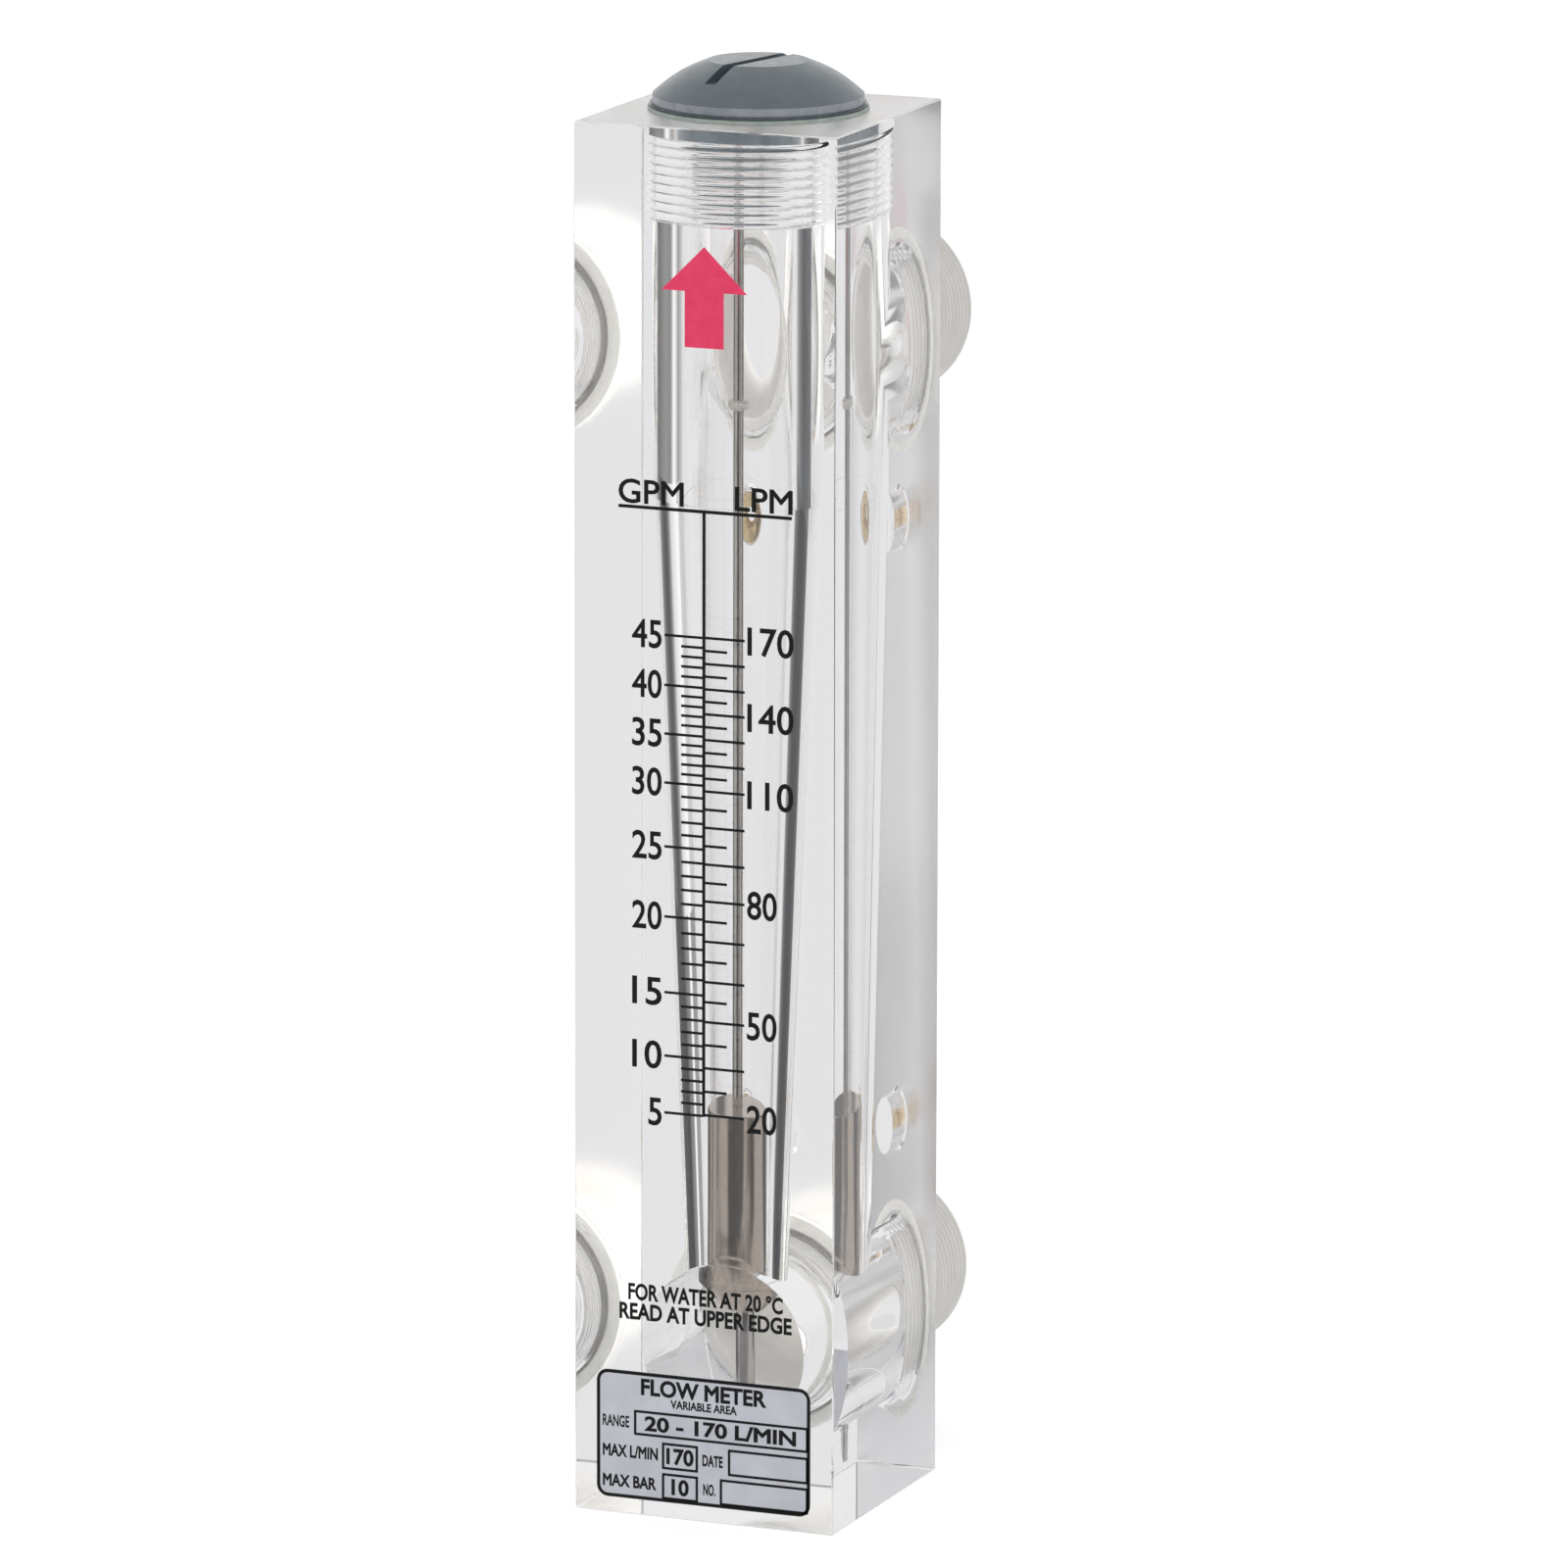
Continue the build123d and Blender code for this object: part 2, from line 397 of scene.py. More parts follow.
milling = add_node(acrylic, "ShaderNodeMath", {"operation": "MULTIPLY"}, {0: satin, 1: satin_roughness})
wired(acrylic, shader, {
    "Roughness": milling.outputs[0], "Normal": grained(acrylic, 30 * MM, 0.02 * MM, 0.3)
})
dressed(block, acrylic, "housing", "clear_acrylic", "body_block")

# Port fittings. Two double nipples turned from pale plastic rod. Each is screwed into the back of the block
# against a flat washer, and has a flange, a hexagon for the spanner and a long outer pipe thread.
fitting_engagement = 10 * MM
fitting_bore_radius = 19.5 * MM
fitting_flange_radius = 29 * MM
fitting_flange_thickness = 5 * MM
fitting_flange_round = 0.8 * MM
fitting_hexagon_flats = 50 * MM
fitting_hexagon_length = 8 * MM
fitting_flange_step = 0.2 * MM
hexagon_corner_cut = 3.2 * MM
hexagon_chamfer_width = 1.6 * MM
hexagon_chamfer_height = 1 * MM
outer_thread_runout = 1.2 * MM
fitting_end_chamfer = 1.2 * MM
fitting_bore_round = 0.6 * MM
washer_thickness = 2 * MM
sunk = 0.5 * MM
fitting_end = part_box("upper_port_fitting")[1].y - block_back
hexagon_foot = washer_thickness + fitting_flange_thickness
hexagon_end = hexagon_foot + fitting_hexagon_length


def rounded_corner(radius, height, out, up, size, points=4):
    """Points of a quarter round at a corner of an outline, from its flat end to its side."""
    centre = (radius - out * size, height - up * size)
    corner = []
    for point in range(points + 1):
        angle = math.pi / 2 * point / points
        corner.append((centre[0] + out * size * math.sin(angle), centre[1] + up * size * math.cos(angle)))
    return corner


def fitting_blank():
    """One fitting, made upright with its washer's seat on the block at height nought."""
    piece = threaded_bar(
        "Fitting", pipe_thread_radius, hexagon_end - sunk, fitting_end, hexagon_end + outer_thread_runout
    )
    inner = threaded_bar(
        "Inner thread", pipe_thread_radius - thread_clearance, -fitting_engagement, washer_thickness + sunk,
        -port_recess_depth
    )
    flange_top = hexagon_foot + fitting_flange_step
    flange = turned("Flange", [
        (0, flange_top),
        *rounded_corner(fitting_flange_radius, flange_top, 1, 1, fitting_flange_round),
        *reversed(rounded_corner(fitting_flange_radius, washer_thickness, 1, -1, fitting_flange_round)),
        (0, washer_thickness),
    ])
    bpy.ops.object.select_all(action="DESELECT")
    bpy.ops.mesh.primitive_cylinder_add(
        vertices=6, radius=fitting_hexagon_flats / math.sqrt(3), depth=fitting_hexagon_length,
        location=(0, 0, hexagon_foot + fitting_hexagon_length / 2), rotation=(0, 0, math.radians(30))
    )
    hexagon = bpy.context.view_layer.objects.active
    bpy.ops.object.transform_apply()
    corner_radius = fitting_hexagon_flats / 2 + hexagon_corner_cut
    chamfers = turned("Hexagon chamfers", [
        (0, hexagon_end),
        (corner_radius - hexagon_chamfer_width, hexagon_end),
        (corner_radius, hexagon_end - hexagon_chamfer_height),
        (corner_radius, hexagon_foot - over),
        (0, hexagon_foot - over),
    ])
    combined(hexagon, "INTERSECT", [chamfers])
    ends = turned("End chamfers", [
        (0, fitting_end),
        (pipe_thread_radius - fitting_end_chamfer, fitting_end),
        (pipe_thread_radius, fitting_end - fitting_end_chamfer),
        (fitting_flange_radius + over, fitting_end - fitting_end_chamfer),
        (fitting_flange_radius + over, 0),
        (pipe_thread_radius, 0),
        (pipe_thread_radius, -fitting_engagement + fitting_end_chamfer),
        (pipe_thread_radius - fitting_end_chamfer, -fitting_engagement),
        (0, -fitting_engagement),
    ])
    flared_radius = fitting_bore_radius + 2 * fitting_bore_round
    bore = turned("Fitting bore", [
        (0, fitting_end + fitting_bore_round),
        (flared_radius, fitting_end + fitting_bore_round),
        (fitting_bore_radius, fitting_end - fitting_bore_round),
        (fitting_bore_radius, -fitting_engagement + fitting_bore_round),
        (flared_radius, -fitting_engagement - fitting_bore_round),
        (0, -fitting_engagement - fitting_bore_round),
    ])
    combined(hexagon, "UNION", [flange])
    combined(piece, "UNION", [hexagon])
    combined(piece, "UNION", [inner])
    combined(piece, "INTERSECT", [ends])
    combined(piece, "DIFFERENCE", [bore])
    return piece


def copied(piece, name):
    """A second piece like the first, with a mesh of its own."""
    twin = piece.copy()
    twin.data = piece.data.copy()
    twin.name = name
    bpy.context.collection.objects.link(twin)
    return twin


# Natural polypropylene, turned. Milky and slightly waxy, with faint rings from the tool, drawn 0.7 mm apart
# to show at all.
fitting_plastic, shader = finish_of(
    "Turned natural polypropylene", Subsurface_Weight=0.2, Subsurface_Scale=4 * MM,
    Subsurface_Radius=(1.0, 0.9, 0.8)
)
wired(fitting_plastic, shader, {
    "Base Color": mottled(fitting_plastic, 6 * MM, "#CFCDC8", "#D7D5D1"),
    "Roughness": uneven(fitting_plastic, 3 * MM, 0.34, 0.44),
    "Normal": tool_rings(fitting_plastic, "Y", 0.7 * MM, 0.03 * MM, 0.35),
})
upper_nipple = fitting_blank()
upper_nipple.name = "upper_nipple"
lower_nipple = copied(upper_nipple, "lower_nipple")
for nipple, node, height in (
    (upper_nipple, "upper_port_fitting", upper_port_height),
    (lower_nipple, "lower_port_fitting", lower_port_height),
):
    laid_back(nipple, height)
    smoothed(nipple, 40)
    dressed(nipple, fitting_plastic, "housing", "pale_plastic", node)

# Port washers. Two flat rings cut from clear silicone sheet. Each is squeezed between its fitting's flange
# and the back of the block.
washer_inner_radius = 25.3 * MM
washer_round = 0.5 * MM
# Silicone, die cut from a moulded sheet. Cloudy and soft, with a dull bloom and a little dust on it.
silicone, shader = finish_of(
    "Die cut clear silicone", Subsurface_Weight=0.15, Subsurface_Scale=1 * MM,
    Subsurface_Radius=(1.0, 1.0, 0.95)
)
wired(silicone, shader, {
    "Base Color": mottled(silicone, 2.5 * MM, "#EAE9E2", "#F3F2EC"),
    "Roughness": uneven(silicone, 1.5 * MM, 0.3, 0.5),
    "Normal": grained(silicone, 0.5 * MM, 0.02 * MM, 0.3),
})
for name, node, height in (
    ("upper_washer", "upper_port_washer", upper_port_height),
    ("lower_washer", "lower_port_washer", lower_port_height),
):
    washer = turned(name, [
        *rounded_corner(fitting_flange_radius, washer_thickness, 1, 1, washer_round),
        *reversed(rounded_corner(fitting_flange_radius, -wetted, 1, -1, washer_round)),
        *rounded_corner(washer_inner_radius, -wetted, -1, -1, washer_round),
        *reversed(rounded_corner(washer_inner_radius, washer_thickness, -1, 1, washer_round)),
        (fitting_flange_radius - washer_round, washer_thickness),
    ])
    laid_back(washer, height)
    smoothed(washer, 40)
    dressed(washer, silicone, "housing", "clear_silicone", node)

# Brass inserts. Two round bushes with a straight knurl, pressed into blind holes in the back of the block
# and tapped right through for the screws that hold the meter to its panel.
insert_radius = 7.3 * MM
insert_length = 8.5 * MM
insert_groove_width = 1.4 * MM
insert_groove_depth = 0.6 * MM
insert_chamfer = 0.5 * MM
insert_thread_radius = 4 * MM
insert_thread_pitch = 1.25 * MM
insert_thread_depth = 0.77 * MM
knurl_teeth = 48
knurl_depth = 0.35 * MM

# Free cutting brass, turned. Warm yellow metal, a little dull with handling. Its rings are drawn 0.5 mm
# apart, coarser than real ones, to show at all.
brass, shader = finish_of("Turned brass", Metallic=1.0)
wired(brass, shader, {
    "Base Color": mottled(brass, 2 * MM, "#E2C48A", "#F0DAB0"),
    "Roughness": uneven(brass, 1.2 * MM, 0.24, 0.38),
    "Normal": tool_rings(brass, "Y", 0.5 * MM, 0.01 * MM, 0.4),
})


def brass_insert(name, node, height):
    """One insert, turned, knurled by drawing every second corner in, tapped and laid in its hole."""
    middle = -insert_length / 2
    land = insert_radius - 0.01 * MM
    body = turned(name, [
        (0, 0),
        (insert_radius - insert_chamfer, 0),
        (insert_radius, -insert_chamfer),
        (insert_radius, middle + insert_groove_width / 2),
        (insert_radius - insert_groove_depth, middle + insert_groove_width / 2),
        (insert_radius - insert_groove_depth, middle - insert_groove_width / 2),
        (insert_radius, middle - insert_groove_width / 2),
        (insert_radius, -insert_length + insert_chamfer),
        (insert_radius - insert_chamfer, -insert_length),
        (0, -insert_length),
    ], steps=knurl_teeth * 2)
    open_up(body)
    bpy.ops.mesh.select_all(action="DESELECT")
    close_up()
    for vertex in body.data.vertices:
        around = math.atan2(vertex.co.y, vertex.co.x) / math.tau * knurl_teeth * 2
        outside = math.hypot(vertex.co.x, vertex.co.y) > land
        vertex.select = outside and round(around) % 2 == 1
    bpy.ops.object.mode_set(mode="EDIT")
    shrink = 1 - knurl_depth / insert_radius
    bpy.ops.transform.resize(value=(shrink, shrink, 1), center_override=(0, 0, 0))
    close_up()
    tap = threaded_bar(
        "Insert tap", insert_thread_radius, -insert_length - over, over, -insert_length - over,
        insert_thread_pitch, insert_thread_depth, steps=48, facets=8
    )
    combined(body, "DIFFERENCE", [tap])
    laid_back(body, height)
    smoothed(body, 30)
    dressed(body, brass, "housing", "machined_brass", node)


brass_insert("upper_bush", "upper_insert", upper_insert_height)
brass_insert("lower_bush", "lower_insert", lower_insert_height)

# Guide rod. Straight stainless bar, ground to size. It stands in a blind hole below and in the plug above,
# and keeps the float on the bore's axis.
rod_low, rod_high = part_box("guide_rod")
rod_radius = rod_high.x
rod_end_chamfer = 0.3 * MM
# Stainless steel, centreless ground. A cool mirror blurred across the bar by fine scratches round it. The
# scratches are drawn 0.3 mm apart, coarser than real ones, to show at all.
ground_steel, shader = finish_of("Ground stainless steel", Metallic=1.0)
wired(ground_steel, shader, {
    "Base Color": mottled(ground_steel, 4 * MM, "#AAA5A0", "#B8B3AE"),
    "Roughness": uneven(ground_steel, 5 * MM, 0.12, 0.22),
    "Normal": grained(ground_steel, 3 * MM, 0.002 * MM, 0.3, (1, 1, 10)),
})
rod = turned("rod", [
    (0, rod_high.z),
    (rod_radius - rod_end_chamfer, rod_high.z),
    (rod_radius, rod_high.z - rod_end_chamfer),
    (rod_radius, rod_low.z + rod_end_chamfer),
    (rod_radius - rod_end_chamfer, rod_low.z),
    (0, rod_low.z),
], steps=64)
smoothed(rod, 30)
dressed(rod, ground_steel, "housing", "ground_stainless", "guide_rod")

# Stop sleeve. Thin stainless tube, ground as the rod is and slipped over its foot. The float comes to rest
# on its upper end.
sleeve_low, sleeve_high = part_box("lower_stop_sleeve")
sleeve_radius = sleeve_high.x
sleeve_slack = 0.04 * MM
sleeve_bore_radius = rod_radius + sleeve_slack
sleeve_round = 0.1 * MM
sleeve = turned("sleeve", [
    (sleeve_bore_radius, sleeve_high.z),
    (sleeve_radius - sleeve_round, sleeve_high.z),
    (sleeve_radius, sleeve_high.z - sleeve_round),
    (sleeve_radius, sleeve_low.z + sleeve_round),
    (sleeve_radius - sleeve_round, sleeve_low.z),
    (sleeve_bore_radius, sleeve_low.z),
    (sleeve_bore_radius, sleeve_high.z),
], steps=64)
smoothed(sleeve, 30)
dressed(sleeve, ground_steel, "housing", "ground_stainless", "lower_stop_sleeve")

# Stop ring. Small translucent ring, moulded in nylon and gripped on the rod. It ends the float's travel at
# the top.
ring_low, ring_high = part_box("upper_stop_ring")
ring_radius = ring_high.x
ring_round = (ring_high.z - ring_low.z) / 2.6
ring = turned("stop_ring", [
    (rod_radius, ring_high.z),
    *rounded_corner(ring_radius, ring_high.z, 1, 1, ring_round),
    *reversed(rounded_corner(ring_radius, ring_low.z, 1, -1, ring_round)),
    (rod_radius, ring_low.z),
    (rod_radius, ring_high.z),
], steps=64)
smoothed(ring, 50)
# Natural nylon, moulded. Milky and half clear, so the rod shows faintly through it.
ring_plastic, shader = finish_of("Moulded natural nylon", IOR=1.5, Transmission_Weight=0.6)
wired(ring_plastic, shader, {
    "Base Color": mottled(ring_plastic, 1.5 * MM, "#CFCBC2", "#DEDAD3"),
    "Roughness": uneven(ring_plastic, 1 * MM, 0.25, 0.4),
})
dressed(ring, ring_plastic, "housing", "clear_silicone", "upper_stop_ring")

# Float. Turned from stainless bar, bored to slide on the rod. The flow is read at its sharp top edge, and
# its nose tapers down to the sleeve.
float_low, float_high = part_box("float")
float_radius = float_high.x
float_nose_length = 7 * MM
float_nose_radius = 5 * MM
float_slack = 0.06 * MM
float_bore_radius = rod_radius + float_slack
float_edge = 0.35 * MM
float_body = turned("steel_float", [
    (float_bore_radius, float_high.z - float_edge),
    (float_bore_radius + float_edge, float_high.z),
    (float_radius - float_edge, float_high.z),
    (float_radius, float_high.z - float_edge),
    (float_radius, float_low.z + float_nose_length + float_edge),
    (float_radius - float_edge / 2, float_low.z + float_nose_length),
    (float_nose_radius + float_edge / 2, float_low.z + float_edge),
    (float_nose_radius - float_edge / 2, float_low.z),
    (float_bore_radius, float_low.z),
    (float_bore_radius, float_high.z - float_edge),
], steps=192)
smoothed(float_body, 30)
# Stainless steel, turned and left from the tool. Warm grey, with close rings round it that spread each
# reflection up and down. They are drawn 0.6 mm apart, about twice the real feed, to show at all.
turned_steel, shader = finish_of("Turned stainless steel", Metallic=1.0)
wired(turned_steel, shader, {
    "Base Color": mottled(turned_steel, 0.8 * MM, "#A59A8F", "#B1A69C"),
    "Roughness": uneven(turned_steel, 2 * MM, 0.14, 0.2, (1, 1, 4)),
    "Normal": tool_rings(turned_steel, "Z", 0.6 * MM, 0.002 * MM, 0.5),
})
dressed(float_body, turned_steel, "float_body", "turned_stainless", "float")

# Top plug. Turned from grey PVC bar, with a pipe thread below its rim and a slot across its crown for a
# blade. It closes the bore and holds the upper end of the rod.
plug_low, plug_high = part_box("top_plug")
plug_rim_radius = plug_high.x
plug_rim_height = 3 * MM
plug_flank_height = 8.3 * MM
plug_flank_bulge = 0.9 * MM
plug_crown_radius = 12.5 * MM
plug_neck_slack = 0.1 * MM
plug_neck_radius = plug_mouth_radius - plug_neck_slack
plug_seat = plug_high.z - plug_flank_height - plug_rim_height
plug_thread_top = block_high.z - plug_mouth_depth
plug_round = 0.7 * MM
slot_width = 3.2 * MM
slot_depth = 3.8 * MM
slot_turn = math.radians(13.5)
rod_end_gap = 0.04 * MM


def dome_line(points=12):
    """The plug's flank: a shallow arc from the top of the rim to the edge of the crown."""
    foot = Vector((plug_rim_radius - plug_round, plug_seat + plug_rim_height))
    head = Vector((plug_crown_radius, plug_high.z))
    out = Vector((foot.y - head.y, head.x - foot.x)).normalized() * -plug_flank_bulge
    line = []
    for point in range(points + 1):
        share = point / points
        line.append(tuple(foot.lerp(head, share) + out * math.sin(math.pi * share)))
    return line


plug = turned("grey_plug", [
    (0, plug_high.z),
    *reversed(dome_line()),
    *rounded_corner(plug_rim_radius, plug_seat, 1, -1, plug_round, 8),
    (plug_neck_radius, plug_seat),
    (plug_neck_radius, plug_thread_top),
    (0, plug_thread_top),
], steps=192)
plug_thread = threaded_bar(
    "Plug thread", pipe_thread_radius - thread_clearance, plug_low.z, plug_thread_top + sunk, tapped_foot
)
bpy.ops.object.select_all(action="DESELECT")
bpy.ops.mesh.primitive_cube_add(
    size=1, location=(0, 0, plug_high.z), rotation=(0, 0, -slot_turn),
    scale=(slot_width, 3 * plug_rim_radius, 2 * slot_depth)
)
slot_cutter = bpy.context.view_layer.objects.active
bpy.ops.object.transform_apply()
rod_socket = turned("Rod socket cutter", [
    (0, rod_high.z + rod_end_gap),
    (rod_hole_radius, rod_high.z + rod_end_gap),
    (rod_hole_radius, plug_low.z - over),
    (0, plug_low.z - over),
], steps=48)
combined(plug, "UNION", [plug_thread])
combined(plug, "DIFFERENCE", [slot_cutter, rod_socket])
smoothed(plug, 18)
# Rigid PVC, turned. Blue grey and lightly polished, with faint rings that follow its crown, drawn 0.8 mm
# apart to show at all. The upright rim band is painted paler than the rest, as a painted reflection of
# the bright surround.
grey_pvc, shader = finish_of("Turned grey PVC")
# Heights of the rim band, where a paler colour is painted as a reflection of the bright surround.
rim_foot = plug_seat + plug_round * 1.3
rim_top = plug_seat + plug_rim_height - 0.1 * MM
height = place_on(grey_pvc)["Z"]
above_foot = add_node(grey_pvc, "ShaderNodeMath", {"operation": "GREATER_THAN"}, {0: height, 1: rim_foot})
below_flank = add_node(grey_pvc, "ShaderNodeMath", {"operation": "LESS_THAN"}, {0: height, 1: rim_top})
rim_painted_sheen = add_node(grey_pvc, "ShaderNodeMath", {"operation": "MULTIPLY"}, {
    0: above_foot.outputs[0], 1: below_flank.outputs[0]
})
# The second, paler colour is a painted reflection on the rim band, not the PVC's own tone.
pvc_and_painted_rim_sheen_colour = add_node(grey_pvc, "ShaderNodeMixRGB", None, {
    "Fac": rim_painted_sheen.outputs[0], "Color1": mottled(grey_pvc, 5 * MM, "#555F65", "#5D676C"),
    "Color2": mottled(grey_pvc, 5 * MM, "#858A90", "#969AA0")
})
wired(grey_pvc, shader, {
    "Base Color": pvc_and_painted_rim_sheen_colour.outputs[0],
    "Roughness": uneven(grey_pvc, 3 * MM, 0.2, 0.3),
    "Normal": tool_rings(grey_pvc, "Z", 0.8 * MM, 0.01 * MM, 0.25, "RINGS"),
})
dressed(plug, grey_pvc, "housing", "grey_pvc", "top_plug")

# Plug gasket. Flat ring moulded in grey rubber. The plug's rim clamps it to the top of the block, and it
# seals the bore.
gasket_low, gasket_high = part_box("plug_gasket")
gasket_round = 0.4 * MM
gasket_inner_radius = plug_mouth_radius + mouth_chamfer
gasket = turned("gasket", [
    (gasket_inner_radius, gasket_high.z),
    *rounded_corner(gasket_high.x, gasket_high.z, 1, 1, gasket_round),
    *reversed(rounded_corner(gasket_high.x, gasket_low.z - wetted, 1, -1, gasket_round)),
    (gasket_inner_radius, gasket_low.z - wetted),
    (gasket_inner_radius, gasket_high.z),
])
smoothed(gasket, 50)
# Nitrile rubber, moulded. Pale grey and dull, with a fine even grain.
rubber, shader = finish_of("Moulded grey rubber")
wired(rubber, shader, {
    "Base Color": mottled(rubber, 2 * MM, "#8F9892", "#A0A9A2"),
    "Roughness": uneven(rubber, 1 * MM, 0.5, 0.7),
    "Normal": grained(rubber, 0.4 * MM, 0.03 * MM, 0.4),
})
dressed(gasket, rubber, "housing", "sealing_rubber", "plug_gasket")

# Printed scale. Screen printed on the front of the block in black epoxy ink: litres a minute on the right
# and gallons a minute on the left, read at the float's top edge.
ink_thickness = 0.04 * MM
fine_stroke = 0.68 * MM
bold_stroke = 0.85 * MM
letter_cap = 0.682
plain_weight = 0.034
heading_weight = 0.03
narrow_weight = 0.024
unit_weight = 0.016
number_weight = 0.015
front = block_low.y


def thicken(depth):
    """Draw the open piece's flat face out along y by a depth, and leave edit mode."""
    bpy.ops.mesh.extrude_region_move(TRANSFORM_OT_translate={"value": (0, depth, 0)})
    close_facing_out()


def printed_bar(left, right, foot, top):
    """One inked bar on the front face."""
    middle = ((left + right) / 2, front + wetted, (foot + top) / 2)
    bpy.ops.object.select_all(action="DESELECT")
    bpy.ops.mesh.primitive_plane_add(size=1, location=middle, rotation=(math.pi / 2, 0, 0))
    bar = bpy.context.view_layer.objects.active
    bar.scale = (right - left, top - foot, 1)
    bpy.ops.object.transform_apply()
    open_up(bar)
    thicken(-ink_thickness - wetted)
    return bar


def printed_words(words, left, right, foot, cap, weight=plain_weight):
    """Words that fill the width from left to right, with capitals of one height. A bevel thickens them."""
    bpy.ops.object.select_all(action="DESELECT")
    bpy.ops.object.text_add()
    print_out = bpy.context.view_layer.objects.active
    print_out.data.body = words
    print_out.data.resolution_u = 4
    print_out.data.bevel_depth = weight
    print_out.data.bevel_resolution = 0
    print_out.data.extrude = weight
    bpy.ops.object.convert(target="MESH")
    print_out = bpy.context.view_layer.objects.active
    reach = [corner[0] for corner in print_out.bound_box]
    wide = (right - left) / (max(reach) - min(reach))
    print_out.rotation_euler = (math.pi / 2, 0, 0)
    print_out.scale = (wide, cap / letter_cap, (ink_thickness + wetted) / (4 * weight))
    print_out.location = (left - min(reach) * wide, front - (ink_thickness - wetted) / 2, foot)
    bpy.ops.object.transform_apply()
    open_up(print_out)
    bpy.ops.mesh.remove_doubles(threshold=weld / 2)
    close_facing_out()
    return print_out


def joined(name, pieces):
    """Several meshes as one."""
    bpy.ops.object.select_all(action="DESELECT")
    for piece in pieces:
        piece.select_set(True)
    bpy.context.view_layer.objects.active = pieces[0]
    bpy.ops.object.join()
    whole = bpy.context.view_layer.objects.active
    whole.name = name
    return whole


scale_top = 257.7 * MM
scale_foot = 104.4 * MM
scale_left = -22.9 * MM
scale_right = 23.4 * MM
unit_foot = 258.7 * MM
unit_cap = 5.8 * MM
legend_cap = 3.9 * MM
number_cap = 6.8 * MM
digit_width = 3.65 * MM
digit_gap = 0.7 * MM
axis_left = -bold_stroke / 2
axis_right = bold_stroke / 2
gallon_marks = {
    45: 226.0, 40: 213.4, 35: 201.1, 30: 188.7, 25: 172.5, 20: 154.7, 15: 135.4, 10: 119.2, 5: 104.65,
}
litre_marks = {
    170: 226.05, 160: 219.5, 150: 213.1, 140: 206.8, 130: 200.3, 120: 193.8, 110: 187.3, 100: 178.1,
    90: 168.8, 80: 159.4, 70: 149.2, 60: 138.9, 50: 128.7, 35: 116.9, 20: 104.9,
}
litre_numbers = (170, 140, 110, 80, 50, 20)
gallon_long = 10.6 * MM
gallon_short = 6.1 * MM
gallon_minor_marks = 4
litre_long = 10.9 * MM
litre_short = 6.2 * MM


def mark(side, length, height):
    """A tick from the axis line out to one side, -1 for gallons and 1 for litres."""
    reach = sorted((side * axis_right, side * length))
    return printed_bar(*reach, height - fine_stroke / 2, height + fine_stroke / 2)


def number(value, side, height):
    """A number beside its tick."""
    width = len(str(value)) * (digit_width + digit_gap) - digit_gap
    near = gallon_long if side < 0 else litre_long
    reach = sorted((side * (near + digit_gap), side * (near + digit_gap + width)))
    return printed_words(str(value), *reach, height - number_cap / 2, number_cap, number_weight)


ink_marks = [
    printed_bar(scale_left, scale_right, scale_top - bold_stroke / 2, scale_top + bold_stroke / 2),
    printed_bar(axis_left, axis_right, scale_foot, scale_top - bold_stroke / 2),
    printed_words("GPM", -22.9 * MM, -5.4 * MM, unit_foot, unit_cap, unit_weight),
    printed_words("LPM", 8.2 * MM, 23.6 * MM, unit_foot, unit_cap, unit_weight),
]
gallon_heights = sorted(height * MM for height in gallon_marks.values())
for here, there in zip(gallon_heights, gallon_heights[1:]):
    for step in range(1, gallon_minor_marks + 1):
        height = here + (there - here) * step / (gallon_minor_marks + 1)
        ink_marks.append(mark(-1, gallon_short, height))
for value, height in gallon_marks.items():
    ink_marks.append(mark(-1, gallon_long, height * MM))
    ink_marks.append(number(value, -1, height * MM))
litre_heights = sorted(height * MM for height in litre_marks.values())
for here, there in zip(litre_heights, litre_heights[1:]):
    ink_marks.append(mark(1, litre_short, (here + there) / 2))
for value, height in litre_marks.items():
    ink_marks.append(mark(1, litre_long, height * MM))
    if value in litre_numbers:
        ink_marks.append(number(value, 1, height * MM))
ink_marks += [
    printed_words("FOR WATER AT 20 °C", -20.4 * MM, 21.4 * MM, 55.9 * MM, legend_cap),
    printed_words("READ AT UPPER EDGE", -22.8 * MM, 23.8 * MM, 50.8 * MM, legend_cap),
]
scale_print = joined("scale_print", ink_marks)
# Black epoxy ink, screen printed. It lies a hair proud, with a soft gloss and a slightly uneven film.
ink_mesh_mark = 0.5 * MM
black_ink, shader = finish_of("Black screen ink", Specular_IOR_Level=0.2)
wired(black_ink, shader, {
    "Base Color": mottled(black_ink, 3 * MM, "#060708", "#0D0F10"),
    "Roughness": uneven(black_ink, 2 * MM, 0.36, 0.5),
    "Normal": grained(black_ink, ink_mesh_mark, 0.01 * MM, 0.3),
})
scale_print.data.materials.append(black_ink)
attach(scale_print, "housing")

# Flow arrow. A plain crimson arrow, which shows that the flow goes up. It is screen printed on the front of
# the block, above the scale.
arrow_centre = 311.2 * MM
arrow_half_height = 12.6 * MM
arrow_half_width = 11.4 * MM
arrow_shaft = 5.2 * MM
arrow_head = arrow_centre + arrow_half_height
arrow_neck = arrow_centre + 1.4 * MM
arrow_foot = arrow_centre - arrow_half_height
arrow = drawn_line("flow_arrow", [(x, front + wetted, z) for x, z in (
    (-arrow_shaft, arrow_foot),
    (arrow_shaft, arrow_foot),
    (arrow_shaft, arrow_neck),
    (arrow_half_width, arrow_neck),
    (0, arrow_head),
    (-arrow_half_width, arrow_neck),
    (-arrow_shaft, arrow_neck),
)])
open_up(arrow)
bpy.ops.mesh.edge_face_add()
thicken(-ink_thickness - wetted)
